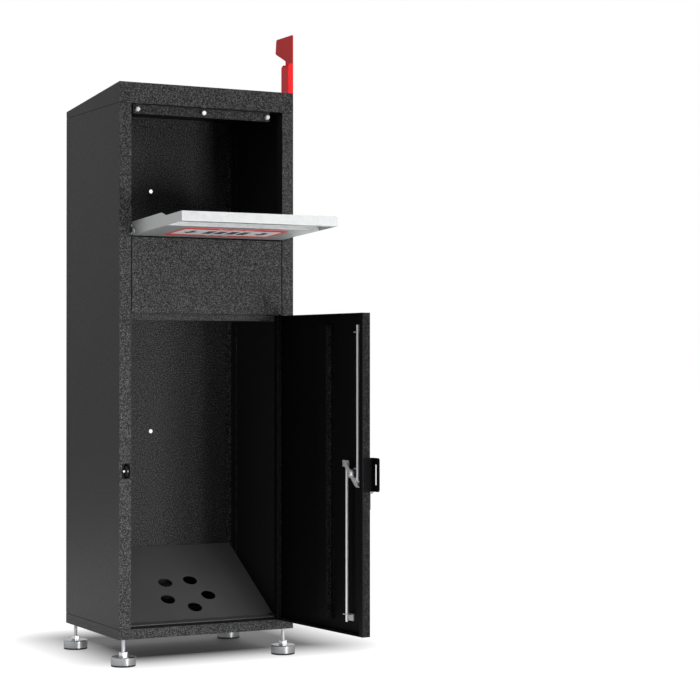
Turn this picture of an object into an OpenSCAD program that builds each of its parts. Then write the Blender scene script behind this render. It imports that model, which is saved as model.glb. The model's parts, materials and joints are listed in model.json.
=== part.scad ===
// Parcel drop box: a floor-standing steel cabinet with a tip-out hopper over a lockable door.
// Shapes are drawn in the cabinet's axes: X to the right, Y into the depth from the front face,
// Z up from the floor. The hopper and the door are drawn shut and then swung open.

/* [Cabinet] */
// Width over the side panels
cabinet_w = 400; // [390:1:440]
// Depth from the front face to the rear face
cabinet_d = 318; // [300:1:360]
// Height of the cabinet from the plinth's lower edge to the roof's front edge
cabinet_h = 1154; // [1150:1:1200]
// Height of the levelling feet under the plinth
foot_h = 56; // [50:1:70]
// Sheet steel thickness
sheet = 1.5; // [1.2:0.1:1.6]
// Width of each front post
post_w = 26; // [24:1:28]
// Height of the plinth skirt
plinth_h = 21; // [20:1:24]
// Height of the roof's skirt at the front
roof_front_h = 43; // [40:1:46]
// Height of the roof's skirt at the rear
roof_rear_h = 14; // [13:1:30]

/* [Hopper] */
// Height of the hopper lid
lid_h = 270; // [262:1:272]
// Gap between the lid's top edge and the roof skirt
lid_top_gap = 5; // [4:0.5:6]
// Angle that the hopper stands open
lid_open = 87; // [0:1:87]
// Depth of the finger recess across the lid
recess_d = 18; // [12:1:18]

/* [Door] */
// Height of the door
door_h = 649.5; // [640:0.5:652]
// Depth of the door pan
door_d = 18; // [17.5:0.5:19]
// Angle that the door stands open
door_open = 95; // [0:1:110]

/* [Lock] */
// Height of the lock above the floor
lock_z = 404; // [380:1:430]
// Distance of the lock from the door's free edge
lock_inset = 45; // [44:1:60]
// Sideways distance of each bolt rod from the lock's axis
rod_offset = 20; // [19:0.5:21]

/* [Chute and fixings] */
// Height of the sloping floor's upper edge
slope_top_z = 213; // [180:1:230]
// Diameter of the drain holes in the sloping floor
drain_d = 32; // [10:1:36]
// Lower wall fixing hole above the floor
wall_hole_low = 474; // [400:1:500]
// Distance between the two wall fixing holes
wall_hole_gap = 540; // [400:1:560]

/* [Flag] */
// Height of the flag's top edge
flag_top_z = 1341; // [1330:1:1345]
// Width of the flag's arm
flag_arm_w = 35; // [34:1:40]

/* [Hidden] */
$fn = 48;

black = [0.16, 0.16, 0.17];
galvanised = [0.80, 0.82, 0.82];
zinc = [0.66, 0.68, 0.70];
chrome = [0.85, 0.86, 0.88];
red = [0.85, 0.03, 0.10];
rubber = [0.05, 0.05, 0.05];
white = [0.93, 0.93, 0.92];

// Clearances
seam = 0.9;          // open line between neighbouring outer sheets
skin_gap = 0.1;      // gap between sheets that are welded or riveted together
running = 0.07;      // radial clearance of a turning or sliding fit

// Cabinet levels and edges
half_w = cabinet_w / 2;
opening_half = half_w - post_w;
plinth_top = foot_h + plinth_h;
cabinet_top = foot_h + cabinet_h;
roof_seam_z = cabinet_top - roof_front_h;
post_return = 26;
rear_lip = 18;
tongue_h = 10;
tongue_lap = 12;
flange_w = 15;
corner_flange = 14;  // width of each side panel's inward flange on the rear panel

// Door
door_gap_free = 2.8;
door_gap_hinge = 2.4;
door_left = -opening_half + door_gap_free;
door_right = opening_half - door_gap_hinge;
door_bottom = plinth_top + 2;
door_top = door_bottom + door_h;
door_lip = 12;

// Door hinges: two butt hinges whose leaves lie in the gap beside the door
leaf_t = 1;
leaf_h = 63;
leaf_inset = 11;
knuckle_r = 2.6;
hinge_pin_r = 1.4;
hinge_x = door_right + door_gap_hinge / 2;
hinge_y = -2.5;
hinge_bottoms = [door_bottom + leaf_inset, door_top - leaf_inset - leaf_h];

// Fixed front panel between the door and the hopper
panel_bottom = door_top + 3;
lid_bottom = roof_seam_z - lid_top_gap - lid_h;
panel_top = lid_bottom - 3;
panel_side_gap = 2;
joggle_d = 4;        // depth at which the panel's side flange steps out to the post

// Sloping floor
slope_half_w = half_w - 8;
slope_flange = 14;   // height of the slope's rear flange, which hangs below it
slope_toe = 84;      // depth at which the slope meets the plinth
slope_front = 40;    // depth of its flat foot's front edge
drain_x = 18;
drain_down = 172.7;    // distance of the drain ring's centre below the upper edge, along the slope
drain_ring_r = 51.7;
drain_turn = 274;

// Hopper lid
lid_half_w = opening_half - 2;
curl_r = 4.5;
pivot_y = curl_r;
pivot_z = lid_bottom + curl_r;
pivot_pin_r = 2.5;
lid_top = lid_bottom + lid_h;
recess_bottom = lid_bottom + 191;
recess_floor_top = lid_bottom + 230.5;
recess_slant_top = lid_top - 16;
top_strip_bottom = lid_top - 14;
top_return = 20;
cheek_d = 28;
cheek_wide_to = lid_bottom + 167;
lid_travel = 87;     // angle from shut to fully open
stop_radius = 16;
stop_pin_r = 2.2;
stop_play = 0.25;
pin_head_r = pivot_y - sheet - skin_gap;
pin_head_t = 1.6;
pin_l = 7;
label_w = 233;
label_h = 127;
label_t = 0.4;
label_bottom = lid_bottom + 37;
bumper_z = lid_top - 4;
bumper_x = 150;
rail_y = 29;
rail_half_w = 158;
rail_drop = 1.6;     // gap between the rail's flange and the top of the roof sheet
rail_bottom = lid_top - 13;

// Lock, bolt rods and hasp
lock_x = door_left + lock_inset;
rod_y = 13;
rod_r = 3;
rod_travel = 2 * rod_offset;
cam_pin_r = 2.5;
cam_end_r = 4;
cam_pin_reach = rod_offset * sqrt(2);
cam_y = 16.5;
cam_t = 2;
upper_rod_top = door_top - 24;
lower_rod_bottom = door_bottom + 25;
plug_r = 6;
barrel_r = 9.4;
barrel_end = 14;
hasp_z = lock_z;
hasp_h = 68;
hasp_t = 2;
hasp_reach = 26;
hasp_y = -6;
staple_x = -half_w + 14.8;
staple_loop_r = 13;
staple_wire_r = 2.2;
staple_leg = 5;
staple_plate_t = 1.5;

// Keys
key_t = 2;
key_w = 8;
bow_w = 24;
bow_l = 22;
bow_start = -10;
key_hole_r = 3;
key_hole_y = -27;
ring_r = 10.4;
ring_wire_r = 0.7;
ring_top_z = lock_z - key_hole_r + ring_wire_r + 0.1;
ring_z = ring_top_z - ring_r;
spare_hole_z = ring_z - ring_r + ring_wire_r + 0.1 - key_hole_r;

// Flag
flag_x = half_w + 11;
flag_front = 25;
flag_back = flag_front + flag_arm_w;
flag_pivot_y = (flag_front + flag_back) / 2;
flag_pivot_z = roof_seam_z - 24;
flag_bottom = roof_seam_z - 49;
flag_neck_z = flag_top_z - 53;
flag_head_w = 50;    // how far the flag's head reaches behind its arm
flag_head_h = 31;    // height of the head's rear edge
channel_x = half_w + 0.8;
channel_bottom = roof_seam_z - 1;
channel_wall_bottom = channel_bottom + 27;
channel_top = flag_top_z - 62.5;
channel_wall_top = channel_top - 6.5;
flag_rivet_r = 3;
bracket_d = 9.6;

// Feet
foot_x = half_w - 16;
foot_y_front = 17;
foot_y_rear = cabinet_d - 17;
pad_r = 26;
stud_r = 4;
stud_top = foot_h + 14;

// The origin lies on the floor under the middle of the whole model as it stands open.
model_left = -foot_x - pad_r;
model_rear = foot_y_rear + pad_r;
spare_key_edge = swung_door([lock_x - key_t / 2, key_hole_y - bow_w / 2]);
model_right = spare_key_edge[0];
hasp_tip = swung_door([door_left - hasp_reach, hasp_y + hasp_t]);
model_front = hasp_tip[1];
centre_x = (model_left + model_right) / 2;
centre_y = (model_front + model_rear) / 2;

// ---------------------------------------------------------------- helpers

// Where a point of the shut door goes when the door stands open
function swung_door(p) = let (q = p - [hinge_x, hinge_y])
    [hinge_x, hinge_y] + [q[0] * cos(door_open) - q[1] * sin(door_open),
        q[0] * sin(door_open) + q[1] * cos(door_open)];

function unit(v) = v / norm(v);
function left_of(v) = [-v[1], v[0]];

// Point i of a bent strip's other face, t to the left of the path
function offset_point(path, i, t) =
    let (last = len(path) - 1,
        before = left_of(unit(path[max(i, 1)] - path[max(i, 1) - 1])),
        after = left_of(unit(path[min(i, last - 1) + 1] - path[min(i, last - 1)])))
    path[i] + t * (before + after) / (1 + before * after);

// Closed outline of a sheet t thick whose one face follows the path
function bent_sheet(path, t = sheet) =
    concat(path, [for (i = [len(path) - 1:-1:0]) offset_point(path, i, t)]);

function arc_points(centre, r, from, to, steps = 6) =
    [for (i = [0:steps]) let (a = from + (to - from) * i / steps) centre + r * [cos(a), sin(a)]];

// Arc that rounds corner p between neighbours a and b
function corner_arc(a, p, b, r) =
    let (u = unit(a - p), v = unit(b - p), half = acos(u * v) / 2,
        c = p + unit(u + v) * r / sin(half),
        s = p + u * r / tan(half) - c, e = p + v * r / tan(half) - c,
        from = atan2(s[1], s[0]), turn = atan2(e[1], e[0]) - from,
        short = turn > 180 ? turn - 360 : turn < -180 ? turn + 360 : turn)
    arc_points(c, r, from, from + short, 5);

function rounded(points, r) = let (n = len(points))
    [for (i = [0:n - 1]) each corner_arc(points[(i + n - 1) % n], points[i], points[(i + 1) % n], r)];

function rectangle(x0, y0, x1, y1) = [[x0, y0], [x1, y0], [x1, y1], [x0, y1]];

// Height of the roof's upper surface at depth y
function roof_z(y) = cabinet_top - (roof_front_h - roof_rear_h) * y / cabinet_d;

// A block between two corners
module block(a, b) translate(a) cube(b - a);

// Extrusions of a (Y, Z) outline along X, of an (X, Z) outline along Y, of an (X, Y) outline along Z
module along_x(x0, x1) translate([x0, 0, 0]) rotate([90, 0, 90]) linear_extrude(x1 - x0) children();
module along_y(y0, y1) translate([0, y1, 0]) rotate([90, 0, 0]) linear_extrude(y1 - y0) children();
module along_z(z0, z1) translate([0, 0, z0]) linear_extrude(z1 - z0) children();

// Round bars along each axis, from the point p
module bar_x(p, length, r) translate(p) rotate([0, 90, 0]) cylinder(length, r, r);
module bar_y(p, length, r) translate(p) rotate([-90, 0, 0]) cylinder(length, r, r);
module bar_z(p, length, r) translate(p) cylinder(length, r, r);

module both_sides() {
    children();
    mirror([1, 0, 0]) children();
}

// Moves cabinet axes to the model's own origin
module in_place() translate([-centre_x, -centre_y, 0]) children();

// Swings shut parts to their open position
module on_door() in_place() translate([hinge_x, hinge_y, 0]) rotate([0, 0, door_open])
    translate([-hinge_x, -hinge_y, 0]) children();
module on_hopper() in_place() translate([0, pivot_y, pivot_z]) rotate([lid_open, 0, 0])
    translate([0, -pivot_y, -pivot_z]) children();

// ---------------------------------------------------------------- cabinet

// Side panel with its front post, drawn for the right-hand side
module side_panel() {
    bottom = plinth_top + seam;
    top = roof_seam_z - seam;
    rear = cabinet_d - rear_lip - seam;
    inside = half_w - sheet;
    difference() {
        union() {
            along_z(bottom, top) polygon(bent_sheet([[opening_half, post_return], [opening_half, 0],
                [half_w, 0], [half_w, rear]]));
            block([inside - sheet, sheet, top - tongue_lap],
                [inside, cabinet_d - 2 * sheet, top + tongue_h]);
            block([inside - sheet, rear - tongue_lap, bottom],
                [inside, cabinet_d - 2 * sheet, top]);
            block([inside - corner_flange, cabinet_d - 3 * sheet, bottom],
                [inside, cabinet_d - 2 * sheet, top]);
            block([inside - flange_w, rear_lip, bottom], [inside, rear - tongue_lap, bottom + sheet]);
        }
        bar_x([opening_half - 1, pivot_y, pivot_z], sheet + 2, pivot_pin_r);
        bar_x([opening_half - 1, pivot_y, pivot_z + stop_radius], sheet + 2, stop_pin_r);
    }
}

module left_side_panel() color(black) in_place() difference() {
    mirror([1, 0, 0]) side_panel();
    for (x = [-5, 5]) bar_y([staple_x + x, -1, lock_z], sheet + 2, 1.6);
}

module right_side_panel() color(black) in_place() side_panel();

module rear_panel() color(black) in_place() difference() {
    bottom = plinth_top + seam;
    top = roof_seam_z - seam;
    union() {
        along_z(bottom, top) polygon(bent_sheet([[half_w, cabinet_d - rear_lip], [half_w, cabinet_d],
            [-half_w, cabinet_d], [-half_w, cabinet_d - rear_lip]]));
        block([sheet + skin_gap - half_w, cabinet_d - 2 * sheet, top - tongue_lap],
            [half_w - sheet - skin_gap, cabinet_d - sheet, top + tongue_h]);
        block([flange_w - half_w, cabinet_d - sheet - flange_w, bottom],
            [half_w - flange_w, cabinet_d - sheet, bottom + sheet]);
    }
    for (z = [wall_hole_low, wall_hole_low + wall_hole_gap])
        bar_y([0, cabinet_d - 5, z], 10, 4.5);
}

// Roof that falls to the rear, with a skirt all round and a return under its front skirt
module roof_cap() color(black) in_place() {
    under = sheet * 1.004;
    difference() {
        along_x(-half_w, half_w) polygon([[0, roof_seam_z], [cabinet_d, roof_seam_z],
            [cabinet_d, roof_z(cabinet_d)], [0, cabinet_top]]);
        along_x(sheet - half_w, half_w - sheet) polygon([[sheet, roof_seam_z - 1],
            [cabinet_d - sheet, roof_seam_z - 1], [cabinet_d - sheet, roof_z(cabinet_d - sheet) - under],
            [sheet, roof_z(sheet) - under]]);
    }
    block([-opening_half, 0, roof_seam_z], [opening_half, 20, roof_seam_z + sheet]);
}

// Plinth: a raised floor, skirts and a lower flange that carries the feet
module base_pan() color(black) in_place() difference() {
    block([-half_w, 0, foot_h], [half_w, cabinet_d, plinth_top]);
    block([sheet - half_w, sheet, foot_h + sheet], [half_w - sheet, cabinet_d - sheet, plinth_top - sheet]);
    block([34 - half_w, 34, foot_h - 1], [half_w - 34, cabinet_d - 34, foot_h + sheet + 1]);
    for (x = [-foot_x, foot_x], y = [foot_y_front, foot_y_rear])
        bar_z([x, y, foot_h - 1], sheet + 2, stud_r + running);
    bar_z([lock_x + rod_offset, rod_y, plinth_top - 5], 10, rod_r + 1);
}

module front_panel() color(black) in_place() difference() {
    half = opening_half - panel_side_gap;
    flange_end = 18;
    at_post = opening_half - skin_gap;
    union() {
        along_x(-half, half) polygon(bent_sheet([[flange_end + 2, panel_top], [0, panel_top],
            [0, panel_bottom], [flange_end + 0.5, panel_bottom]]));
        both_sides() along_z(panel_bottom + sheet, panel_top - sheet) polygon(bent_sheet([[half, 0],
            [half, joggle_d], [at_post, joggle_d + panel_side_gap], [at_post, flange_end]]));
    }
    bar_z([lock_x - rod_offset, rod_y, panel_bottom - 1], sheet + 2, rod_r + 1);
}

// Strip behind the fixed panel that the door shuts against
module door_stop_rail() color(black) in_place()
    along_x(-opening_half + 1, opening_half - 1) polygon(bent_sheet([[18.6, panel_bottom + 14],
        [18.6, panel_bottom - 14], [30, panel_bottom - 14]]));

// Sloping floor that slides parcels to the door, with drain holes in a ring of five
module sloped_floor() color(black) in_place() {
    rear = cabinet_d - 4 * sheet - skin_gap;
    low = plinth_top + skin_gap;
    slope = atan2(slope_top_z - low, rear - slope_toe);
    difference() {
        along_x(-slope_half_w, slope_half_w) polygon(bent_sheet([[rear, slope_top_z - slope_flange],
            [rear, slope_top_z], [slope_toe, low], [slope_front, low]], -sheet));
        translate([drain_x, rear - drain_down * cos(slope), slope_top_z - drain_down * sin(slope)])
            rotate([slope, 0, 0]) for (i = [0:4]) let (a = drain_turn + 72 * i)
                bar_z([drain_ring_r * cos(a), drain_ring_r * sin(a), -6], 12, drain_d / 2);
        both_sides() block([half_w - flange_w - 4, 0, low - 1], [half_w, cabinet_d, low + sheet + 1]);
    }
}

// Recessed rail behind the hopper's top edge
module hopper_top_rail() color(black) in_place() {
    along_x(-rail_half_w, rail_half_w) polygon(bent_sheet([[rail_y + 30, roof_z(rail_y + 30) - rail_drop],
        [rail_y, roof_z(rail_y) - rail_drop], [rail_y, rail_bottom], [rail_y + 12, rail_bottom]]));
}

module hopper_bumpers() color(white) in_place() for (x = [-bumper_x, bumper_x])
    translate([x, rail_y, bumper_z]) rotate([90, 0, 0]) rotate_extrude()
        polygon([[0, 0], [5, 0], [5, 6.4], [3.6, 8.4], [0, 8.7]]);

module hopper_magnet() color(zinc) in_place() bar_y([0, top_return + 0.3, bumper_z],
    rail_y - top_return - 0.3, 4.5);

// Pins on both posts that reach through the lid's cheeks
module hopper_pins(z, r) both_sides() {
    bar_x([lid_half_w - sheet + skin_gap, pivot_y, z], pin_l, r);
    bar_x([opening_half + sheet, pivot_y, z], pin_head_t, pin_head_r);
}

module hopper_pivot_pins() color(zinc) in_place() hopper_pins(pivot_z, pivot_pin_r);
module hopper_stop_pins() color(zinc) in_place() hopper_pins(pivot_z + stop_radius, stop_pin_r);

// ---------------------------------------------------------------- hopper

// Slot in the lid's cheek that the stop pin runs in while the hopper tips
module stop_slot() {
    r = stop_pin_r + stop_play;
    translate([pivot_y, pivot_z]) {
        intersection() {
            difference() {
                circle(stop_radius + r);
                circle(stop_radius - r);
            }
            polygon(concat([[0, 0]], arc_points([0, 0], 2 * stop_radius, 90 - lid_travel, 90)));
        }
        translate([0, stop_radius]) circle(r);
        rotate(90 - lid_travel) translate([stop_radius, 0]) circle(r);
    }
}

module hopper_lid() color(galvanised) on_hopper() {
    along_x(sheet - lid_half_w, lid_half_w - sheet) polygon(bent_sheet(concat(
        [[top_return, lid_top - 12], [top_return, lid_top], [0, lid_top], [0, top_strip_bottom],
        [3, top_strip_bottom], [3, recess_slant_top], [recess_d, recess_floor_top],
        [recess_d, recess_bottom], [0, recess_bottom]],
        arc_points([pivot_y, pivot_z], curl_r, 180, 270), [[14, lid_bottom]])));
    both_sides() along_x(lid_half_w - sheet, lid_half_w) difference() {
        union() {
            polygon([[pivot_y, lid_bottom], [cheek_d, lid_bottom], [cheek_d, cheek_wide_to],
                [top_return, recess_bottom], [top_return, lid_top], [0, lid_top], [0, pivot_z]]);
            translate([pivot_y, pivot_z]) circle(curl_r);
        }
        translate([pivot_y, pivot_z]) circle(pivot_pin_r + running);
        stop_slot();
    }
}

module hopper_label() color(red) on_hopper() along_y(-label_t, 0)
    polygon(rounded(rectangle(-label_w / 2, label_bottom, label_w / 2, label_bottom + label_h), 11));

// ---------------------------------------------------------------- door

// One side's leaves and knuckles of both hinges; a knuckle list gives the thirds it holds
module hinge_side(x0, depth, thirds) for (z = hinge_bottoms) {
    block([x0, knuckle_r + hinge_y + 0.3, z], [x0 + leaf_t, depth, z + leaf_h]);
    difference() {
        for (i = thirds) let (h = leaf_h / 3, low = z + i * h + 0.15, high = z + (i + 1) * h - 0.15) {
            bar_z([hinge_x, hinge_y, low], high - low, knuckle_r);
            block([x0, hinge_y, low], [x0 + leaf_t, 1, high]);
        }
        bar_z([hinge_x, hinge_y, z - 1], leaf_h + 2, hinge_pin_r + (len(thirds) == 1 ? running : 0));
    }
}

module frame_hinge_leaves() color(zinc) in_place() hinge_side(opening_half - leaf_t, 20, [0, 2]);
module door_hinge_leaves() color(zinc) on_door() hinge_side(door_right, 16, [1]);

module hinge_pins() color(zinc) in_place() for (z = hinge_bottoms)
    bar_z([hinge_x, hinge_y, z + 0.15], leaf_h - 0.3, hinge_pin_r);

module door_panel() color(black) on_door() difference() {
    union() {
        along_z(door_bottom, door_top) polygon(bent_sheet([[door_left + door_lip, door_d],
            [door_left, door_d], [door_left, 0], [door_right, 0], [door_right, door_d],
            [door_right - door_lip, door_d]]));
        for (z = [door_bottom, door_top - sheet])
            block([door_left, 0, z], [door_right, door_d, z + sheet]);
    }
    bar_z([lock_x - rod_offset, rod_y, door_top - 5], 10, rod_r + 0.5);
    bar_z([lock_x + rod_offset, rod_y, door_bottom - 5], 10, rod_r + 0.5);
    bar_y([lock_x, -1, lock_z], sheet + 2, barrel_r);
    for (z = [-22, 22]) bar_x([door_left - 1, 9, hasp_z + z], sheet + 2, 2);
}

// Hat section spot-welded down the middle of the door's inside
module door_stiffener() color(black) on_door() {
    middle = -18;
    crown = 13;
    brim = 22;
    low = sheet + skin_gap;
    along_z(door_bottom + 22, door_top - 22) polygon(bent_sheet([[middle - brim, low],
        [middle - crown, low], [middle - crown, door_d - 3], [middle + crown, door_d - 3],
        [middle + crown, low], [middle + brim, low]], 1.2));
}

module lock_body() color(chrome) on_door() translate([lock_x, 0, lock_z]) rotate([-90, 0, 0])
    rotate_extrude() polygon([[plug_r + running, -4], [9.6, -4], [10.5, -3.1], [10.5, 0],
        [barrel_r, 0], [barrel_r, barrel_end], [plug_r + running, barrel_end]]);

module lock_surround() color(black) on_door() translate([lock_x, 0, lock_z]) rotate([-90, 0, 0])
    rotate_extrude() polygon([[10.6, -1.8], [12.4, -1.8], [13, -1.2], [13, 0], [10.6, 0]]);

module lock_nut() color(zinc) on_door() difference() {
    translate([lock_x, sheet, lock_z]) rotate([-90, 0, 0]) cylinder(4, r = 13, $fn = 6);
    bar_y([lock_x, 0, lock_z], 10, barrel_r);
}

// Angle brackets that the bolt rods slide through
module rod_guide(x, z, way) {
    difference() {
        block([x - 9, sheet, min(z, z + way * sheet)], [x + 9, door_d - 1, max(z, z + way * sheet)]);
        bar_z([x, rod_y, z - 5], 10, rod_r + running);
    }
    block([x - 9, sheet, min(z, z - way * 13)], [x + 9, 2 * sheet, max(z, z - way * 13)]);
}

module rod_guides() color(zinc) on_door() {
    rod_guide(lock_x - rod_offset, upper_rod_top - 14, -1);
    rod_guide(lock_x + rod_offset, lower_rod_bottom + 14, 1);
}

// Angle bracket on the door's free edge with the slot that drops over the staple
module hasp_plate() color(black) on_door() difference() {
    low = hasp_z - hasp_h / 2;
    edge = door_left - 0.05;
    tip = door_left - hasp_reach;
    intersection() {
        along_z(low, low + hasp_h) polygon(bent_sheet([[edge, door_d - 3], [edge, hasp_y],
            [tip, hasp_y]], -hasp_t));
        along_y(hasp_y - 1, door_d)
            polygon(rounded(rectangle(tip, low, edge + 12, low + hasp_h), 5));
    }
    for (z = [-18.5, 18.5]) bar_y([staple_x, hasp_y - 1, hasp_z + z], 4, 3);
    block([staple_x - 3, hasp_y - 1, hasp_z - 18.5], [staple_x + 3, hasp_y + 3, hasp_z + 18.5]);
    for (z = [-22, 22]) bar_x([door_left - 5, 9, hasp_z + z], 10, 2);
}

module hasp_rivets() color(zinc) on_door() for (z = [-22, 22]) {
    bar_x([door_left - 0.05 - hasp_t, 9, hasp_z + z], hasp_t + sheet + 0.05, 2);
    bar_x([door_left + sheet, 9, hasp_z + z], 1.4, 3.8);
}

// ---------------------------------------------------------------- staple

module staple_plate() color(black) in_place() difference() {
    along_y(-staple_plate_t, 0)
        polygon(rounded(rectangle(staple_x - 8.5, lock_z - 16, staple_x + 8.5, lock_z + 16), 2));
    for (x = [-5, 5]) bar_y([staple_x + x, -5, lock_z], 10, 1.6);
}

// D-shaped wire loop that takes a padlock's shackle
module staple_loop() color(black) in_place() translate([staple_x, 0, lock_z]) {
    translate([0, -staple_leg, 0]) rotate([90, 0, -90]) rotate([0, 0, -90]) rotate_extrude(angle = 180)
        translate([staple_loop_r, 0]) circle(staple_wire_r);
    for (z = [-staple_loop_r, staple_loop_r])
        bar_y([0, -staple_leg, z], staple_leg - staple_plate_t, staple_wire_r);
}

module staple_screws() color(black) in_place() for (x = [-5, 5])
    translate([staple_x + x, 0, lock_z]) rotate([-90, 0, 0]) rotate_extrude()
        polygon([[0, -3.2], [1.8, -3.1], [2.6, -2.5], [2.8, -staple_plate_t], [1.6, -staple_plate_t],
            [1.6, 6], [0, 7]]);

// ---------------------------------------------------------------- lock works

module lock_plug() color(chrome) on_door() difference() {
    bar_y([lock_x, -4.4, lock_z], 4.4 + cam_y, plug_r);
    block([lock_x - 1.15, -5, lock_z - key_w / 2 - 0.2], [lock_x + 1.15, 11, lock_z + key_w / 2 + 0.2]);
    bar_y([lock_x, cam_y - 6, lock_z], 10, 2);
}

// Cam bar that stands at 45 degrees, with a pin at each end for the rods' yokes
module lock_cam() color(zinc) on_door() translate([lock_x, 0, lock_z]) {
    difference() {
        along_y(cam_y, cam_y + cam_t) rotate(45) union() {
            square([2 * cam_pin_reach, 9], center = true);
            circle(8);
            for (x = [-cam_pin_reach, cam_pin_reach]) translate([x, 0]) circle(cam_end_r);
        }
        bar_y([0, cam_y - 1, 0], cam_t + 2, 2);
    }
    for (s = [-1, 1]) bar_y([s * rod_offset, 10.5, s * rod_offset], cam_y - 10.5, cam_pin_r);
}

module cam_screw() color(zinc) on_door() translate([lock_x, 0, lock_z]) {
    bar_y([0, cam_y - 6, 0], 6 + cam_t, 2);
    translate([0, cam_y + cam_t, 0]) rotate([-90, 0, 0]) cylinder(2.6, r = 4.6, $fn = 6);
}

// Flat key along -Y with its bow at the front; the bow's hole takes the split ring
module key_blank(blade_end) along_x(-key_t / 2, key_t / 2) difference() {
    union() {
        polygon(rounded(rectangle(bow_start - bow_l, -bow_w / 2, bow_start, bow_w / 2), 7));
        polygon([[bow_start - 2, -key_w / 2], [blade_end - 3, -key_w / 2], [blade_end, 0],
            [blade_end - 3, key_w / 2], [bow_start - 2, key_w / 2]]);
    }
    translate([key_hole_y, 0]) circle(key_hole_r);
    for (i = [0:3]) translate([blade_end - 5 - 3.2 * i, key_w / 2 + 0.6]) rotate(45)
        square(1.8, center = true);
}

module key() color(chrome) on_door() translate([lock_x, 0, lock_z]) key_blank(10);

module key_ring() color(zinc) on_door() translate([lock_x, key_hole_y, ring_z]) rotate([90, 0, 0])
    rotate_extrude() translate([ring_r, 0]) circle(ring_wire_r, $fn = 24);

module spare_key() color(zinc) on_door() translate([lock_x, key_hole_y, spare_hole_z])
    rotate([-90, 0, 0]) translate([0, -key_hole_y, 0]) key_blank(24);

// Round rod with a flat slotted yoke; side gives the yoke's side of the lock, way its direction
module bolt_rod(side, way, tip_z) translate([lock_x, 0, lock_z]) {
    pin = -way * rod_offset;
    slot_half = (cam_pin_reach - rod_offset) / 2;
    slot_mid = side * (rod_offset + slot_half);
    slot_r = cam_pin_r + 1.1;
    root = pin + way * 5;
    tip = tip_z - lock_z;
    difference() {
        union() {
            block([slot_mid - 10, rod_y - 1.5, pin - 6.5], [slot_mid + 10, rod_y + 1.5, pin + 6.5]);
            bar_z([side * rod_offset, rod_y, min(root, tip)], abs(tip - root), rod_r);
        }
        for (s = [-1, 1]) bar_y([slot_mid + s * slot_half, 0, pin], 20, slot_r);
        block([slot_mid - slot_half, 0, pin - slot_r], [slot_mid + slot_half, 20, pin + slot_r]);
    }
}

module upper_rod() color(zinc) on_door() bolt_rod(-1, 1, upper_rod_top);
module lower_rod() color(zinc) on_door() bolt_rod(1, -1, lower_rod_bottom);

// ---------------------------------------------------------------- flag

module flag() color(red) in_place() along_x(flag_x, flag_x + sheet) difference() {
    polygon(rounded([[flag_front, flag_bottom], [flag_back, flag_bottom], [flag_back, flag_neck_z],
        [flag_back + flag_head_w, flag_top_z - flag_head_h],
        [flag_back + flag_head_w - 4, flag_top_z], [flag_front, flag_top_z]], 4));
    translate([flag_pivot_y, flag_pivot_z]) circle(flag_rivet_r + running);
}

// Folded channel that stiffens the flag's arm, cut back below to clear the cabinet
module flag_channel() color(red) in_place() {
    right = flag_x - skin_gap;
    for (y = [flag_front, flag_back - sheet]) along_y(y, y + sheet)
        polygon([[right, channel_bottom], [half_w + 3, channel_bottom],
            [half_w + 2.7, channel_wall_bottom - 3], [channel_x, channel_wall_bottom],
            [channel_x, channel_wall_top], [half_w + 4.5, channel_top], [right, channel_top]]);
    block([channel_x, flag_front, channel_wall_bottom], [channel_x + sheet, flag_back, channel_wall_top]);
}

module flag_bracket() color(black) in_place() {
    low = flag_pivot_z - 17;
    difference() {
        block([half_w, flag_pivot_y - 15, low], [half_w + bracket_d, flag_pivot_y + 15, low + 36]);
        block([half_w + sheet, flag_pivot_y - 15 + sheet, low - 1],
            [half_w + bracket_d - sheet, flag_pivot_y + 15 - sheet, low + 37]);
        bar_x([half_w + 5, flag_pivot_y, flag_pivot_z], 10, flag_rivet_r);
    }
}

module flag_washer() color(white) in_place() difference() {
    bar_x([half_w + bracket_d, flag_pivot_y, flag_pivot_z], flag_x - half_w - bracket_d - 0.1, 8);
    bar_x([half_w, flag_pivot_y, flag_pivot_z], 20, flag_rivet_r);
}

module flag_rivet() color(red) in_place()
    translate([half_w + bracket_d - sheet, flag_pivot_y, flag_pivot_z]) rotate([0, 90, 0])
        rotate_extrude() polygon([[0, -1.6], [5, -1.6], [5, 0], [flag_rivet_r, 0], [flag_rivet_r, 4.5],
            [6.5, 4.5], [6.2, 5.4], [4.8, 6.4], [2.6, 6.9], [0, 7.1]]);

// ---------------------------------------------------------------- feet

module at_foot(x, y) in_place() translate([x, y, 0]) children();

module foot_lock_nuts() color(zinc) for (x = [-foot_x, foot_x], y = [foot_y_front, foot_y_rear])
    at_foot(x, y) difference() {
        translate([0, 0, foot_h + sheet]) cylinder(6.5, r = 7.5, $fn = 6);
        bar_z([0, 0, foot_h], 20, stud_r + running);
    }

module foot_stud(x, y) color(zinc) at_foot(x, y) {
    bar_z([0, 0, 20], stud_top - 20, stud_r);
    translate([0, 0, 20]) cylinder(9, r = 9.8, $fn = 6);
}

module foot_pad(x, y) color(chrome) at_foot(x, y) rotate_extrude()
    polygon([[0, 3], [25.2, 3], [pad_r, 3.8], [pad_r, 18.4], [24.4, 20], [0, 20]]);

module foot_rubber(x, y) color(rubber) at_foot(x, y) rotate_extrude()
    polygon([[0, 0], [25, 0], [25.6, 0.6], [25.6, 2.4], [25.2, 3], [0, 3]]);

// ---------------------------------------------------------------- drawing

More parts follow.
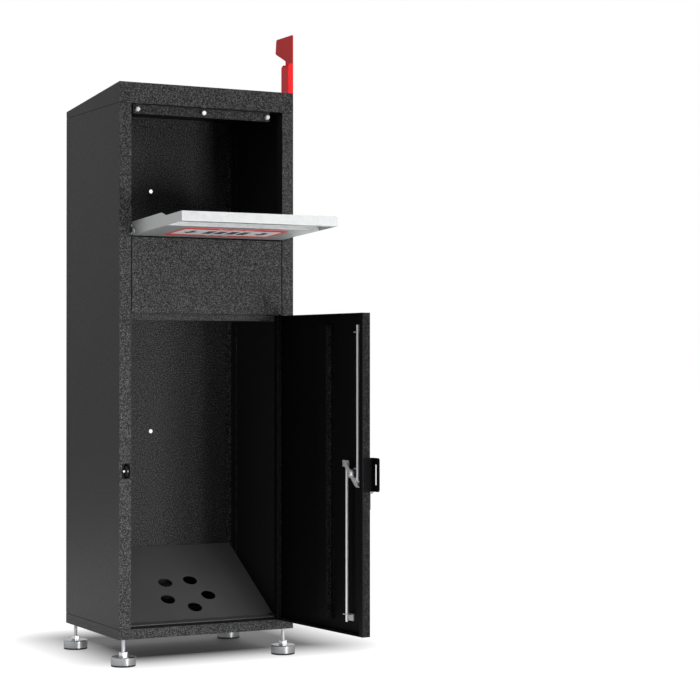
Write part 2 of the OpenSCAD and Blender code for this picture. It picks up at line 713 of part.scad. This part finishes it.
left_side_panel();
right_side_panel();
rear_panel();
roof_cap();
base_pan();
front_panel();
door_stop_rail();
sloped_floor();
hopper_top_rail();
hopper_bumpers();
hopper_magnet();
hopper_pivot_pins();
hopper_stop_pins();
frame_hinge_leaves();
hinge_pins();
staple_plate();
staple_loop();
staple_screws();
flag_bracket();
flag_washer();
flag_rivet();
foot_lock_nuts();
hopper_lid();
hopper_label();
door_panel();
door_stiffener();
door_hinge_leaves();
lock_body();
lock_surround();
lock_nut();
rod_guides();
hasp_plate();
hasp_rivets();
lock_plug();
lock_cam();
cam_screw();
key();
key_ring();
spare_key();
upper_rod();
lower_rod();
flag();
flag_channel();
foot_stud(-foot_x, foot_y_front);  // foot_stud_fl
foot_stud(foot_x, foot_y_front);  // foot_stud_fr
foot_stud(-foot_x, foot_y_rear);  // foot_stud_bl
foot_stud(foot_x, foot_y_rear);  // foot_stud_br
foot_pad(-foot_x, foot_y_front);  // foot_pad_fl
foot_pad(foot_x, foot_y_front);  // foot_pad_fr
foot_pad(-foot_x, foot_y_rear);  // foot_pad_bl
foot_pad(foot_x, foot_y_rear);  // foot_pad_br
foot_rubber(-foot_x, foot_y_front);  // foot_rubber_fl
foot_rubber(foot_x, foot_y_front);  // foot_rubber_fr
foot_rubber(-foot_x, foot_y_rear);  // foot_rubber_bl
foot_rubber(foot_x, foot_y_rear);  // foot_rubber_br
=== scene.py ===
"""Looks of the parcel drop box.

Materials for the CAD nodes, the printed label, threaded foot studs, the wound split ring, and the
studio's floor, light and camera. Lengths are in metres unless a comment says millimetres.
"""
import json
import math

import bmesh
import bpy
from mathutils import Matrix, Vector


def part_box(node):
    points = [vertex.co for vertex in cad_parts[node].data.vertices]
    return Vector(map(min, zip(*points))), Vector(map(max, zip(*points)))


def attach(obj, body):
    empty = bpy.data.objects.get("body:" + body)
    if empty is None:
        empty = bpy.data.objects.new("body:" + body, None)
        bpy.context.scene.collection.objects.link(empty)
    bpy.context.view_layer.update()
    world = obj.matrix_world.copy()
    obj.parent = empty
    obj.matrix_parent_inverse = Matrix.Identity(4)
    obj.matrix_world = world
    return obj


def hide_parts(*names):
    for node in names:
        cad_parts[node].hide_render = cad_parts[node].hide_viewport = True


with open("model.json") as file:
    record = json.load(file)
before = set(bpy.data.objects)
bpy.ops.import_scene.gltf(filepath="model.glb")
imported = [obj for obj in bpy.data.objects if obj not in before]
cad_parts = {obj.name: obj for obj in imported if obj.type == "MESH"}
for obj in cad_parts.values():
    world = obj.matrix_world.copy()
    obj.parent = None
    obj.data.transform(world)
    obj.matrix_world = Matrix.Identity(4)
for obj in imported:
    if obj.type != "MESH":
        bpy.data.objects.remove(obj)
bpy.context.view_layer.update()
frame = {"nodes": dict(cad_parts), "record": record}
MM = 0.001


# ---------------------------------------------------------------- places taken from the frame

def joint(name):
    """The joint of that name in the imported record."""
    return next(j for j in frame["record"]["behaviour"]["joints"] if j["name"] == name)


FEET = ("fl", "fr", "bl", "br")
HOPPER_PIVOT = Vector(joint("hopper_tilt")["pos_m"])
HOPPER_OPEN = math.radians(-joint("hopper_tilt")["range_deg"][0])
LID_LOW, LID_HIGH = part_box("hopper_lid")
LID_MIDDLE = Vector(((LID_LOW.x + LID_HIGH.x) / 2, HOPPER_PIVOT.y, HOPPER_PIVOT.z))
# The lid's curled lower edge turns on the pivot, so the pivot is this far above the edge and
# behind the face.
LID_CURL = 4.5 * MM


def hopper_point(x, up, out=0.0):
    """A point of the lid's face: x across, up from the lid's lower edge, out from the face."""
    shut = Vector((x, -LID_CURL - out, up - LID_CURL))
    return Matrix.Rotation(HOPPER_OPEN, 3, "X") @ shut + LID_MIDDLE


# ---------------------------------------------------------------- material building blocks

class Nodes:
    """A small wrapper that adds nodes to a material and links them by name."""

    def __init__(self, name):
        self.material = bpy.data.materials.new(name)
        self.material.use_nodes = True
        self.tree = self.material.node_tree
        self.shader = self.tree.nodes["Principled BSDF"]
        self.coords = self.add("ShaderNodeTexCoord").outputs["Object"]

    def add(self, kind, **settings):
        """A new node; each setting is a property of it, or else one of its sockets."""
        node = self.tree.nodes.new(kind)
        for key, value in settings.items():
            if hasattr(node, key):
                setattr(node, key, value)
            else:
                node.inputs[key.replace("_", " ").title()].default_value = value
        return node

    def link(self, source, target):
        self.tree.links.new(source, target)

    def feed(self, socket, value):
        """Links the socket to another one, or sets it to a number or a colour."""
        if isinstance(value, bpy.types.NodeSocket):
            self.link(value, socket)
        else:
            socket.default_value = (*value, 1) if isinstance(value, tuple) else value

    def set(self, **values):
        """Sets sockets of the shader itself."""
        for key, value in values.items():
            self.shader.inputs[key.replace("_", " ")].default_value = value

    def stretched(self, x, y, z):
        """Object coordinates scaled along each axis."""
        node = self.add("ShaderNodeMapping")
        node.inputs["Scale"].default_value = (x, y, z)
        self.link(self.coords, node.inputs["Vector"])
        return node.outputs["Vector"]

    def noise(self, scale, detail=2.0, roughness=0.5, vector=None):
        node = self.add("ShaderNodeTexNoise", scale=scale, detail=detail, roughness=roughness)
        self.link(vector or self.coords, node.inputs["Vector"])
        return node.outputs["Fac"]

    def voronoi(self, scale, feature="F1", output="Distance"):
        node = self.add("ShaderNodeTexVoronoi", feature=feature, scale=scale)
        self.link(self.coords, node.inputs["Vector"])
        return node.outputs[output]

    def ramp(self, source, stops):
        """Colour ramp; stops are two pairs (place, colour)."""
        node = self.add("ShaderNodeValToRGB")
        for element, (place, colour) in zip(node.color_ramp.elements, stops):
            element.position = place
            element.color = (*colour, 1)
        self.link(source, node.inputs["Fac"])
        return node.outputs["Color"]

    def range(self, source, low, high, from_low=0.0, from_high=1.0):
        """Maps the source from its own range to low..high."""
        node = self.add("ShaderNodeMapRange")
        for key, value in (("From Min", from_low), ("From Max", from_high), ("To Min", low),
                           ("To Max", high)):
            node.inputs[key].default_value = value
        self.link(source, node.inputs["Value"])
        return node.outputs["Result"]

    def mix(self, factor, a, b):
        node = self.add("ShaderNodeMix", data_type="RGBA")
        colour_a, colour_b = node.inputs[6], node.inputs[7]
        for socket, value in ((node.inputs[0], factor), (colour_a, a), (colour_b, b)):
            self.feed(socket, value)
        return node.outputs[2]

    def mix_shaders(self, factor, a, b):
        node = self.add("ShaderNodeMixShader")
        for socket, value in zip(node.inputs, (factor, a, b)):
            self.link(value, socket)
        return node.outputs[0]

    def math(self, operation, a, b):
        node = self.add("ShaderNodeMath", operation=operation)
        for socket, value in zip(node.inputs, (a, b)):
            self.feed(socket, value)
        return node.outputs[0]

    def bump(self, height, strength, distance):
        node = self.add("ShaderNodeBump")
        node.inputs["Strength"].default_value = strength
        node.inputs["Distance"].default_value = distance
        self.link(height, node.inputs["Height"])
        return node.outputs["Normal"]

    def finish(self, colour, roughness, normal=None):
        """Links colour, roughness and bump to the shader and hands back the material."""
        for value, name in ((colour, "Base Color"), (roughness, "Roughness"), (normal, "Normal")):
            if value:
                self.link(value, self.shader.inputs[name])
        return self.material


def scaled(colour, factor):
    return tuple(c * factor for c in colour)


def powder_coat(name, dark, light, grain, rough, depth, gloss, door=False):
    """Wrinkled powder coat: rounded grains, paler on their crowns.

    Faces that look along Y get pale crowns, painted glints of the key lights grazing the grains;
    faces that look sideways are even in colour. The door stands open, so its outer face looks
    along X and has the painted glints, and its inner face is plain near-black, a painted shade.
    """
    n = Nodes(name)
    coarse = n.noise(grain, detail=2.5, roughness=0.6)
    fine = n.voronoi(grain * 2.3, feature="SMOOTH_F1")
    cloud = n.noise(9.0)
    # Pale crowns: painted glints of the key lights on the grains, used only where glint_mask is
    # high.
    crowns = n.ramp(coarse, [(0.46, dark), (0.66, light)])
    normal = n.add("ShaderNodeSeparateXYZ")
    n.link(n.add("ShaderNodeTexCoord").outputs["Normal"], normal.inputs[0])
    if door:
        glint_mask = n.range(normal.outputs["X"], 0.0, 1.0, -0.5, 0.9)
        # The door's inner face gets a near-black even tone: painted shade.
        pale = 0.01
    else:
        glint_mask = n.range(n.math("ABSOLUTE", normal.outputs["Y"], 0.0), 0.0, 1.0, 0.2, 0.8)
        pale = 0.15
    even = tuple((1 - pale) * a + pale * b for a, b in zip(dark, light))
    colour = n.mix(n.range(cloud, 0.0, 0.2), n.mix(glint_mask, even, crowns), dark)
    height = n.math("ADD", coarse, n.math("MULTIPLY", fine, -0.25))
    n.set(Specular_IOR_Level=gloss)
    return n.finish(colour, n.range(coarse, rough[1], rough[0], 0.35, 0.7),
                    n.bump(height, 1.0, depth))


def smooth_coat(name, dark, light, gloss):
    """Even satin paint with a faint orange-peel skin."""
    n = Nodes(name)
    n.set(Specular_IOR_Level=gloss)
    peel = n.noise(160.0)
    cloud = n.noise(7.0)
    return n.finish(n.ramp(cloud, [(0.3, dark), (0.7, light)]), n.range(peel, 0.36, 0.46),
                    n.bump(peel, 0.3, 0.04 * MM))


def galvanised_sheet():
    """Pale zinc-coated sheet with soft spangle and faint rolling lines."""
    n = Nodes("galvanised_sheet")
    spangle = n.voronoi(130.0, output="Color")
    grey = n.add("ShaderNodeRGBToBW")
    n.link(spangle, grey.inputs[0])
    rolled = n.noise(60.0, vector=n.stretched(14.0, 1.0, 1.0))
    tone = n.ramp(grey.outputs[0], [(0.2, (0.53, 0.54, 0.545)), (0.8, (0.57, 0.58, 0.58))])
    colour = n.mix(n.range(rolled, 0.0, 0.25), tone, (0.50, 0.515, 0.52))
    n.set(Metallic=0.7)
    return n.finish(colour, n.range(grey.outputs[0], 0.36, 0.46), n.bump(rolled, 0.25, 0.02 * MM))


def plated(name, colour, rough, metallic=1.0, streak=(1.0, 1.0, 8.0)):
    """Plated steel with a soft cloud in its tone and fine drawing lines."""
    n = Nodes(name)
    scale = 180.0
    cloud = n.noise(scale, detail=3.0)
    lines = n.noise(scale * 3, detail=1.0, vector=n.stretched(*streak))
    tone = n.mix(n.range(cloud, 0.0, 0.6), colour, scaled(colour, 0.82))
    n.set(Metallic=metallic)
    return n.finish(tone, n.range(lines, *rough), n.bump(lines, 0.2, 0.01 * MM))


def moulded(name, dark, light, rough):
    """Moulded rubber or plastic with a fine matt skin."""
    n = Nodes(name)
    skin = n.noise(900.0)
    n.set(Specular_IOR_Level=0.4)
    return n.finish(n.ramp(skin, [(0.3, dark), (0.7, light)]), n.range(skin, *rough),
                    n.bump(skin, 0.5, 0.02 * MM))


def printed(name, colour):
    """Printed vinyl: nearly even ink over a slightly pebbled film."""
    n = Nodes(name)
    film = n.noise(420.0)
    n.set(Coat_Weight=0.25, Coat_Roughness=0.2)
    return n.finish(n.mix(n.range(film, 0.0, 1.0), colour, scaled(colour, 0.93)),
                    n.range(film, 0.27, 0.40), n.bump(film, 0.15, 0.01 * MM))


# light is the colour of the painted glints on the grain crowns.
BLACK_COAT = {"dark": (0.0004, 0.0004, 0.0004), "light": (0.100, 0.100, 0.102), "grain": 440.0,
              "rough": (0.40, 0.54), "depth": 0.18 * MM}
RED_COAT = {"grain": 900.0, "depth": 0.03 * MM, "gloss": 0.2}
MATERIALS = {
    "powder_coat_black": powder_coat("powder_coat_black", **BLACK_COAT, gloss=0.22),
    # door_coat_black paints the door's inner face near-black as shade; its outer face has the
    # painted glints.
    "door_coat_black": powder_coat("door_coat_black", **BLACK_COAT, gloss=0.10, door=True),
    "satin_grey": smooth_coat("satin_grey", (0.080, 0.080, 0.082), (0.092, 0.092, 0.094), 0.4),
    "gloss_black": smooth_coat("gloss_black", (0.0015, 0.0015, 0.0015), (0.003, 0.003, 0.003),
                               0.08),
    "galvanised_sheet": galvanised_sheet(),
    "label_vinyl": printed("label_vinyl", (0.86, 0.060, 0.065)),
    "flag_red": powder_coat("flag_red", (0.74, 0.004, 0.008), (0.88, 0.008, 0.014),
                            rough=(0.38, 0.50), **RED_COAT),
    "flag_bright": powder_coat("flag_bright", (0.94, 0.006, 0.012), (1.0, 0.012, 0.020),
                               rough=(0.34, 0.46), **RED_COAT),
    "zinc_plate": plated("zinc_plate", (0.88, 0.89, 0.91), (0.30, 0.44), 0.75),
    "chrome_plate": plated("chrome_plate", (0.46, 0.47, 0.48), (0.20, 0.30), streak=(1, 1, 14)),
    "nickel_key": plated("nickel_key", (0.74, 0.73, 0.70), (0.15, 0.32)),
    "rubber_black": moulded("rubber_black", (0.012, 0.012, 0.012), (0.03, 0.03, 0.03),
                            (0.6, 0.8)),
    "nylon_white": moulded("nylon_white", (0.93, 0.93, 0.92), (0.98, 0.98, 0.97), (0.35, 0.5)),
    "black_plastic": moulded("black_plastic", (0.012, 0.012, 0.012), (0.025, 0.025, 0.025),
                             (0.3, 0.42)),
}
INK_WHITE = printed("ink_white", (0.88, 0.88, 0.88))
INK_BLACK = printed("ink_black", (0.025, 0.025, 0.028))


# ---------------------------------------------------------------- CAD nodes: materials and edges

def soften(obj, width):
    """Rounds an object's sharp edges with a bevel modifier."""
    bevel = obj.modifiers.new("edge", "BEVEL")
    bevel.width = width
    bevel.segments = 2
    bevel.limit_method = "ANGLE"
    bevel.angle_limit = math.radians(40)


# edge width in millimetres: the nodes that have it
EDGES = {
    1.0: ["roof_cap"],
    0.8: ["left_side_panel", "right_side_panel", "rear_panel", "base_pan", "front_panel",
          "door_panel"],
    0.5: ["door_stiffener", "hopper_lid", "hopper_top_rail", "flag_bracket", "hasp_plate",
          "foot_lock_nuts"],
    0.4: ["sloped_floor", "flag", "flag_channel", "staple_plate", "lock_cam", "lock_nut",
          "rod_guides", "hopper_bumpers"],
    0.3: ["key", "spare_key"],
}


def dress_cad():
    """Gives each CAD node its edges and the material of its slot."""
    for width, nodes in EDGES.items():
        for node in nodes:
            soften(frame["nodes"][node], width * MM)
    for entry in frame["record"]["subparts"]:
        for slot in frame["nodes"][entry["node"]].material_slots:
            slot.material = MATERIALS[entry["material_slot"]]


dress_cad()


# ---------------------------------------------------------------- closed solids from outlines

def solid(name, build):
    """A new object; build(bm) adds its faces to the empty mesh."""
    mesh = bpy.data.meshes.new(name)
    bm = bmesh.new()
    build(bm)
    bmesh.ops.recalc_face_normals(bm, faces=bm.faces)
    bm.to_mesh(mesh)
    bm.free()
    obj = bpy.data.objects.new(name, mesh)
    bpy.context.collection.objects.link(obj)
    return obj


def skin(bm, rings):
    """Adds a closed skin over rings of points, each with the same number of points."""
    loops = [[bm.verts.new(point) for point in ring] for ring in rings]
    bm.faces.new(loops[0][::-1])
    bm.faces.new(loops[-1])
    for a, b in zip(loops, loops[1:]):
        for i in range(len(a)):
            j = (i + 1) % len(a)
            bm.faces.new((a[i], a[j], b[j], b[i]))


# ---------------------------------------------------------------- label

FILM = 0.08 * MM  # thickness of one printed layer
LABEL_FACE = 0.4 * MM  # how far the label's face stands out from the lid's
LABEL_MIDDLE = 100.5  # millimetres from the lid's lower edge up to the label's middle


def print_piece(name, outlines, out, material):
    """Thin printed shapes on the lid's face; outlines are lists of (x, up) in millimetres."""
    def build(bm):
        for outline in outlines:
            skin(bm, [[hopper_point(x * MM, y * MM, level) for x, y in outline]
                      for level in (out, out + FILM)])

    obj = solid(name, build)
    obj.data.materials.append(material)
    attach(obj, "hopper")


def rounded_box(x0, y0, x1, y1, r, steps=6):
    """Outline of a rectangle with round corners."""
    points = []
    for cx, cy, start in ((x1 - r, y0 + r, -90), (x1 - r, y1 - r, 0), (x0 + r, y1 - r, 90),
                          (x0 + r, y0 + r, 180)):
        for i in range(steps + 1):
            a = math.radians(start + 90 * i / steps)
            points.append((cx + r * math.cos(a), cy + r * math.sin(a)))
    return points


def label():
    """Red label with a white panel: parcels between down arrows, and no words."""
    mid = LABEL_MIDDLE
    half = 22  # half a parcel's size
    tape = 3.5  # half the width of a parcel's tape
    marks, tapes = [], []
    for x in (-26, 26):
        marks.append(rounded_box(x - half, mid - half, x + half, mid + 8, 2))
        marks.append(rounded_box(x - half, mid + 10, x + half, mid + half, 2))
        tapes.append([(x - tape, mid - 21.9), (x + tape, mid - 21.9), (x + tape, mid + 21.9),
                      (x - tape, mid + 21.9)])
    for x in (-80, 80):
        marks.append([(x - 5, mid + 24), (x - 5, mid), (x - 15, mid), (x, mid - 22),
                      (x + 15, mid), (x + 5, mid), (x + 5, mid + 24)])
    borders = [[(x - 10, 157), (x, 151), (x + 10, 157), (x + 10, 152), (x, 146), (x - 10, 152)]
               for x in (-30, 0, 30)]
    borders += [rounded_box(x - 6, 46, x + 6, 51, 2) for x in (-20, 0, 20)]

    print_piece("label_panel", [rounded_box(-109, 60, 109, 140, 5)], LABEL_FACE, INK_WHITE)
    print_piece("label_marks", marks, LABEL_FACE + FILM, INK_BLACK)
    print_piece("label_tapes", tapes, LABEL_FACE + 2 * FILM, INK_WHITE)
    print_piece("label_chevrons", borders, LABEL_FACE, INK_WHITE)


label()


# ---------------------------------------------------------------- foot studs and key ring

STUD_SIDES = 24
STUD_RADIUS = 4.0 * MM
STUD_CORE = 3.2 * MM
STUD_SUNK = 0.2 * MM  # how far the shank reaches into its hexagon
THREAD_PITCH = 1.25 * MM
THREAD_DEPTH = 0.55 * MM
HEXAGON_HEIGHT = 9.0 * MM
HEXAGON_CHAMFER = 0.8 * MM


def ring_at(centre, z, sides, radius):
    """Level ring of points round the centre; radius is a function of the turn from 0 to 1."""
    points = []
    for i in range(sides):
        turn = i / sides
        angle = 2 * math.pi * turn
        points.append((centre.x + radius(turn) * math.cos(angle),
                       centre.y + radius(turn) * math.sin(angle), z))
    return points


def shank_rings(centre, start, top):
    """Rings up an M8 shank whose rolled thread fades in at the bottom and partly out at the top."""
    rings = [ring_at(centre, start - STUD_SUNK, STUD_SIDES, lambda turn: STUD_CORE)]
    steps = int((top - start) / (THREAD_PITCH / 5))
    for i in range(steps + 1):
        z = start + (top - start) * i / steps
        cut = THREAD_DEPTH * min(1.0, (z - start) / THREAD_PITCH, (top - z) / THREAD_PITCH + 0.4)

        def thread(turn):
            wave = math.cos(2 * math.pi * (z / THREAD_PITCH - turn))
            return STUD_RADIUS - cut * (0.5 + 0.5 * wave)

        rings.append(ring_at(centre, z, STUD_SIDES, thread))
    return rings


def threaded_stud(foot):
    """Threaded shank and chamfered hexagon in place of the plain CAD stud."""
    node = "foot_stud_" + foot
    low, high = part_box(node)
    centre = (low + high) / 2
    across = (high.x - low.x) / 2
    top = low.z + HEXAGON_HEIGHT
    shank = solid("threaded_shank_" + foot,
                  lambda bm: skin(bm, shank_rings(centre, top, high.z)))
    levels = [(low.z, across - HEXAGON_CHAMFER), (low.z + HEXAGON_CHAMFER / 2, across),
              (top - HEXAGON_CHAMFER / 2, across), (top, across - HEXAGON_CHAMFER)]
    hexagon = solid("foot_hexagon_" + foot, lambda bm: skin(
        bm, [ring_at(centre, z, 6, lambda turn, r=radius: r) for z, radius in levels]))
    for piece in (shank, hexagon):
        piece.data.materials.append(MATERIALS["zinc_plate"])
        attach(piece, "foot_" + foot)
    for face in shank.data.polygons:
        face.use_smooth = True
    soften(hexagon, 0.3 * MM)
    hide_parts(node)


RING_TURNS = 1.9
RING_STEPS = 120
RING_START = 0.6  # radians from the ring's level axis to the wire's first end
WIRE_HALF_WIDTH = 0.65 * MM
WIRE_HALF_THICK = 0.3 * MM
COIL_SPACING = 2.3  # distance between the two turns, in half thicknesses of the wire
# eight-sided section of the wire, in half widths and half thicknesses
WIRE_SECTION = [(0.5, -1), (1, -0.5), (1, 0.5), (0.5, 1), (-0.5, 1), (-1, 0.5), (-1, -0.5),
                (-0.5, -1)]


def split_ring():
    """Key ring wound of flat spring wire, its two turns lying side by side."""
    low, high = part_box("key_ring")
    centre = (low + high) / 2
    across, up = Vector(joint("key_ring_swing")["axis"]), Vector((0, 0, 1))
    aside = across.cross(up)
    radius = (high.z - low.z) / 2 - 0.7 * MM
    rings = []
    for i in range(RING_STEPS + 1):
        t = i / RING_STEPS
        angle = 2 * math.pi * RING_TURNS * t + RING_START
        out = across * math.cos(angle) + up * math.sin(angle)
        shift = (t - 0.5) * RING_TURNS * COIL_SPACING * WIRE_HALF_THICK
        rings.append([centre + out * (radius + a * WIRE_HALF_WIDTH)
                      + aside * (shift + b * WIRE_HALF_THICK) for a, b in WIRE_SECTION])
    ring = solid("split_ring", lambda bm: skin(bm, rings))
    ring.data.materials.append(MATERIALS["nickel_key"])
    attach(ring, "key_ring")
    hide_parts("key_ring")


for foot in FEET:
    threaded_stud(foot)
split_ring()


# ---------------------------------------------------------------- stage, light and camera

SIDE_LIGHT = 0.38  # the surround's strength as light from the front and sides
BACK_LIGHT = 0.72  # and from behind the box
FLOOR_SIZE = 30.0  # half the floor's side
FLOOR_SHOWN = 1.06  # the open floor's brightness in the picture
# The floor's glow to other rays is painted bounce light; FLOOR_UNDER dims it under the box as
# painted shade.
FLOOR_NEAR = 1.3  # light the floor throws back near the box
FLOOR_UNDER = 0.2  # under it
FLOOR_FAR = 0.12  # and far from it, as a share of FLOOR_NEAR
# The painted floor shadow under the box is centred this far from the base pan's middle.
PAINTED_SHADOW_SHIFT = Vector((0.09, 0.12, 0.0))  # from the base pan's middle to the shade's middle
# name, place, aim, width, height, power
LIGHTS = [
    ("low_key", (0.62, -3.35, 0.25), (0.0, 0.0, 0.4), 0.6, 0.5, 52.0),
    ("high_key", (2.1, -2.9, 1.15), (0.0, 0.0, 1.0), 0.6, 0.6, 15.0),
    ("top", (-0.3, -2.2, 3.5), (0.0, -0.1, 0.0), 2.0, 1.6, 45.0),
]
CAMERA_PLACE = (-1.7094, -3.7925, 0.6284)
CAMERA_HEADING = math.radians(28.09)
CAMERA_TILT = math.radians(0.367)
CAMERA_LENS = 101.49  # millimetres, on a 36 mm sensor


def studio_world():
    """White surround to the camera; as light, dim at the front and sides, brighter behind."""
    world = bpy.data.worlds.new("studio")
    bpy.context.scene.world = world
    world.use_nodes = True
    tree = world.node_tree
    light = tree.nodes["Background"]
    seen = tree.nodes.new("ShaderNodeBackground")
    for shader in (light, seen):
        shader.inputs["Color"].default_value = (1, 1, 1, 1)
        shader.inputs["Strength"].default_value = 1.0
    coords = tree.nodes.new("ShaderNodeTexCoord")
    split = tree.nodes.new("ShaderNodeSeparateXYZ")
    depth = tree.nodes.new("ShaderNodeMapRange")
    for name, value in (("From Min", -0.2), ("From Max", 0.9), ("To Min", SIDE_LIGHT),
                        ("To Max", BACK_LIGHT)):
        depth.inputs[name].default_value = value
    path = tree.nodes.new("ShaderNodeLightPath")
    mix = tree.nodes.new("ShaderNodeMixShader")
    for source, target in (
            (coords.outputs["Generated"], split.inputs[0]),
            (split.outputs["Y"], depth.inputs["Value"]),
            (depth.outputs["Result"], light.inputs["Strength"]),
            (path.outputs["Is Camera Ray"], mix.inputs[0]),
            (light.outputs[0], mix.inputs[1]),
            (seen.outputs[0], mix.inputs[2]),
            (mix.outputs[0], tree.nodes["World Output"].inputs["Surface"])):
        tree.links.new(source, target)


def distance_from_painted_shadow(n):
    """Level distance from the base pan's outline, moved by PAINTED_SHADOW_SHIFT; zero inside it."""
    low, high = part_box("base_pan")
    middle, half = (low + high) / 2 + PAINTED_SHADOW_SHIFT, (high - low) / 2
    place = n.coords
    for operation, value in (("SUBTRACT", middle), ("ABSOLUTE", None), ("SUBTRACT", half),
                             ("MAXIMUM", Vector()), ("MULTIPLY", Vector((1, 1, 0)))):
        step = n.add("ShaderNodeVectorMath", operation=operation)
        n.link(place, step.inputs[0])
        if value:
            step.inputs[1].default_value = value
        place = step.outputs["Vector"]
    length = n.add("ShaderNodeVectorMath", operation="LENGTH")
    n.link(place, length.inputs[0])
    return length.outputs["Value"]


def floor_material():
    """White floor: a painted shadow under the box, grey and also lit by the lamps, and even white
    round it; other rays see its glow, a painted bounce light.
    """
    n = Nodes("floor_white")
    tone = n.noise(1.5)
    n.set(Specular_IOR_Level=0.2)
    # Dark grey floor tone, seen only where the white glow fades out near the box: the painted
    # shadow's colour.
    n.finish(n.ramp(tone, [(0.0, (0.30, 0.30, 0.30)), (1.0, (0.34, 0.34, 0.34))]),
             n.range(tone, 0.6, 0.7))
    away = distance_from_painted_shadow(n)
    white = n.add("ShaderNodeEmission", Strength=FLOOR_SHOWN)
    # Camera rays: the white glow fades out towards the base pan, painting a shadow under the box.
    seen = n.mix_shaders(n.range(away, 0.0, 0.97, 0.0, 0.17), n.shader.outputs[0],
                         white.outputs[0])
    # Other rays: the floor glows as painted bounce light, dimmed under the box as painted shade.
    bounce = n.add("ShaderNodeEmission")
    strength = n.math("MULTIPLY", n.range(away, FLOOR_UNDER, FLOOR_NEAR, 0.0, 0.40),
                      n.range(away, 1.0, FLOOR_FAR, 1.2, 2.6))
    n.link(strength, bounce.inputs["Strength"])
    path = n.add("ShaderNodeLightPath")
    surface = n.mix_shaders(path.outputs["Is Camera Ray"], bounce.outputs[0], seen)
    n.link(surface, n.tree.nodes["Material Output"].inputs["Surface"])
    return n.material


def studio_floor():
    mesh = bpy.data.meshes.new("floor")
    s = FLOOR_SIZE
    mesh.from_pydata([(-s, -s, 0), (s, -s, 0), (s, s, 0), (-s, s, 0)], [], [(0, 1, 2, 3)])
    floor = bpy.data.objects.new("floor", mesh)
    bpy.context.collection.objects.link(floor)
    mesh.materials.append(floor_material())


def look_at(obj, direction):
    """Turns a lamp or camera so that it looks along the direction."""
    obj.rotation_euler = direction.to_track_quat("-Z", "Y").to_euler()


def lamps():
    for name, place, aim, width, height, power in LIGHTS:
        data = bpy.data.lights.new(name, "AREA")
        data.shape = "RECTANGLE"
        data.size, data.size_y = width, height
        data.energy = power
        lamp = bpy.data.objects.new(name, data)
        lamp.location = place
        look_at(lamp, Vector(aim) - Vector(place))
        bpy.context.collection.objects.link(lamp)


def camera():
    """Level studio view from the front left, on a long lens."""
    data = bpy.data.cameras.new("camera")
    data.sensor_width = 36.0
    data.lens = CAMERA_LENS
    cam = bpy.data.objects.new("camera", data)
    cam.location = CAMERA_PLACE
    level = math.cos(CAMERA_TILT)
    look_at(cam, Vector((math.sin(CAMERA_HEADING) * level, math.cos(CAMERA_HEADING) * level,
                         math.sin(CAMERA_TILT))))
    bpy.context.collection.objects.link(cam)
    bpy.context.scene.camera = cam


studio_floor()
studio_world()
lamps()
camera()
bpy.context.scene.view_settings.view_transform = "Standard"
